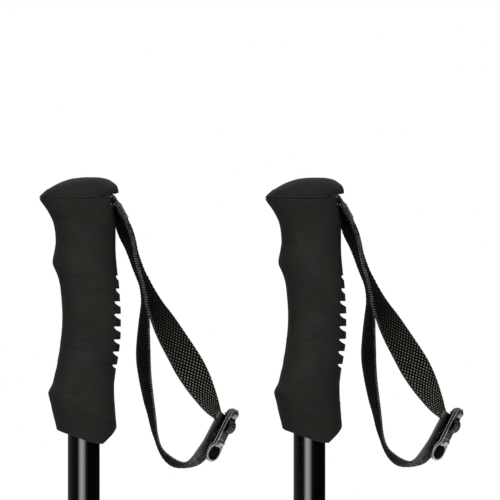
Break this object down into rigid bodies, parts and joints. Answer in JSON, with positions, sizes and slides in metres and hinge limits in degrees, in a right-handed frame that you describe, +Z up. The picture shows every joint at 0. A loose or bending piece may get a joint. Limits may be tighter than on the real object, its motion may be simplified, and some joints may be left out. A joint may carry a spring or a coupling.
{
  "type": "trekking poles",
  "caption": "Pair of collapsible trekking poles with contoured ribbed grips, wrist straps with ladder-lock buckles, lever locks, three tube sections, baskets and hard tips.",
  "frame": {"origin": "centre of the flat end of the left pole's carbide tip, on the ground plane", "axes": "+Z up along the poles; the finger side of each grip faces -X, the palm side and strap face +X; the right pole stands towards +X and is set back towards +Y"},
  "size_m": [0.2395, 0.09, 0.6101],
  "materials": {
    "grip_foam": "matte moulded foam rubber, olive black",
    "cap_rubber": "matte",
    "webbing": "woven webbing",
    "buckle_plastic": "satin moulded nylon",
    "upper_tube": "gloss black",
    "lower_tube": "satin black anodised",
    "lock_plastic": "satin moulded nylon",
    "lever_plastic": "satin moulded nylon",
    "wear_plastic": "natural acetal",
    "nut_metal": "satin",
    "steel": "satin",
    "ferrule_plastic": "satin moulded",
    "carbide": "ground"
  },
  "bodies": {
    "left_handle": {"left_grip": "grip_foam", "left_head_cap": "cap_rubber", "left_strap_pin": "steel", "left_upper_shaft": "upper_tube", "left_upper_lock_collar": "lock_plastic", "left_upper_lock_screw": "steel", "left_upper_lock_washer": "wear_plastic"},
    "left_strap_loop": {"left_strap": "webbing", "left_buckle": "buckle_plastic"},
    "left_upper_lever": {"left_upper_lock_lever": "lever_plastic", "left_upper_lock_pin": "steel"},
    "left_upper_nut": {"left_upper_lock_nut": "nut_metal"},
    "left_middle": {"left_middle_shaft": "lower_tube", "left_middle_guide_plug": "wear_plastic", "left_lower_lock_collar": "lock_plastic", "left_lower_lock_screw": "steel", "left_lower_lock_washer": "wear_plastic"},
    "left_lower_lever": {"left_lower_lock_lever": "lever_plastic", "left_lower_lock_pin": "steel"},
    "left_lower_nut": {"left_lower_lock_nut": "nut_metal"},
    "left_lower": {"left_lower_shaft": "lower_tube", "left_lower_guide_plug": "wear_plastic", "left_tip_ferrule": "ferrule_plastic", "left_carbide_tip": "carbide"},
    "left_basket_ring": {"left_basket": "ferrule_plastic"},
    "right_handle": {"right_grip": "grip_foam", "right_head_cap": "cap_rubber", "right_strap_pin": "steel", "right_upper_shaft": "upper_tube", "right_upper_lock_collar": "lock_plastic", "right_upper_lock_screw": "steel", "right_upper_lock_washer": "wear_plastic"},
    "right_strap_loop": {"right_strap": "webbing", "right_buckle": "buckle_plastic"},
    "right_upper_lever": {"right_upper_lock_lever": "lever_plastic", "right_upper_lock_pin": "steel"},
    "right_upper_nut": {"right_upper_lock_nut": "nut_metal"},
    "right_middle": {"right_middle_shaft": "lower_tube", "right_middle_guide_plug": "wear_plastic", "right_lower_lock_collar": "lock_plastic", "right_lower_lock_screw": "steel", "right_lower_lock_washer": "wear_plastic"},
    "right_lower_lever": {"right_lower_lock_lever": "lever_plastic", "right_lower_lock_pin": "steel"},
    "right_lower_nut": {"right_lower_lock_nut": "nut_metal"},
    "right_lower": {"right_lower_shaft": "lower_tube", "right_lower_guide_plug": "wear_plastic", "right_tip_ferrule": "ferrule_plastic", "right_carbide_tip": "carbide"},
    "right_basket_ring": {"right_basket": "ferrule_plastic"}
  },
  "joints": [
    {"name": "left_upper_slide", "type": "slide", "parent": "left_middle", "child": "left_handle", "axis": [0, 0, 1], "range_m": [0, 0.3]},
    {"name": "left_lower_slide", "type": "slide", "parent": "left_lower", "child": "left_middle", "axis": [0, 0, 1], "range_m": [0, 0.34]},
    {"name": "left_strap_swing", "type": "hinge", "parent": "left_handle", "child": "left_strap_loop", "pos_m": [0.013, 0, 0.5966], "axis": [0, -1, 0], "range_deg": [0, 35]},
    {"name": "left_upper_lever_hinge", "type": "hinge", "parent": "left_handle", "child": "left_upper_lever", "pos_m": [0.0175, -0.01105, 0.213], "axis": [0, 0, 1], "range_deg": [0, 140]},
    {"name": "left_upper_nut_turn", "type": "hinge", "parent": "left_handle", "child": "left_upper_nut", "pos_m": [0.0175, 0.0075, 0.213], "axis": [0, 1, 0], "continuous": true},
    {"name": "left_lower_lever_hinge", "type": "hinge", "parent": "left_middle", "child": "left_lower_lever", "pos_m": [0.0165, -0.01105, 0.153], "axis": [0, 0, 1], "range_deg": [0, 140]},
    {"name": "left_lower_nut_turn", "type": "hinge", "parent": "left_middle", "child": "left_lower_nut", "pos_m": [0.0165, 0.0075, 0.153], "axis": [0, 1, 0], "continuous": true},
    {"name": "left_basket_turn", "type": "hinge", "parent": "left_lower", "child": "left_basket_ring", "pos_m": [0, 0, 0.052], "axis": [0, 0, 1], "range_deg": [0, 90]},
    {"name": "right_upper_slide", "type": "slide", "parent": "right_middle", "child": "right_handle", "axis": [0, 0, 1], "range_m": [0, 0.3]},
    {"name": "right_lower_slide", "type": "slide", "parent": "right_lower", "child": "right_middle", "axis": [0, 0, 1], "range_m": [0, 0.34]},
    {"name": "right_strap_swing", "type": "hinge", "parent": "right_handle", "child": "right_strap_loop", "pos_m": [0.1401, 0.04, 0.5966], "axis": [0, -1, 0], "range_deg": [0, 35]},
    {"name": "right_upper_lever_hinge", "type": "hinge", "parent": "right_handle", "child": "right_upper_lever", "pos_m": [0.1446, 0.02895, 0.213], "axis": [0, 0, 1], "range_deg": [0, 140]},
    {"name": "right_upper_nut_turn", "type": "hinge", "parent": "right_handle", "child": "right_upper_nut", "pos_m": [0.1446, 0.0475, 0.213], "axis": [0, 1, 0], "continuous": true},
    {"name": "right_lower_lever_hinge", "type": "hinge", "parent": "right_middle", "child": "right_lower_lever", "pos_m": [0.1436, 0.02895, 0.153], "axis": [0, 0, 1], "range_deg": [0, 140]},
    {"name": "right_lower_nut_turn", "type": "hinge", "parent": "right_middle", "child": "right_lower_nut", "pos_m": [0.1436, 0.0475, 0.153], "axis": [0, 1, 0], "continuous": true},
    {"name": "right_basket_turn", "type": "hinge", "parent": "right_lower", "child": "right_basket_ring", "pos_m": [0.1271, 0.04, 0.052], "axis": [0, 0, 1], "range_deg": [0, 90]},
    {"name": "pair_spacing", "type": "slide", "parent": "left_lower", "child": "right_lower", "axis": [1, 0, 0], "range_m": [0, 0.3]}
  ]
}
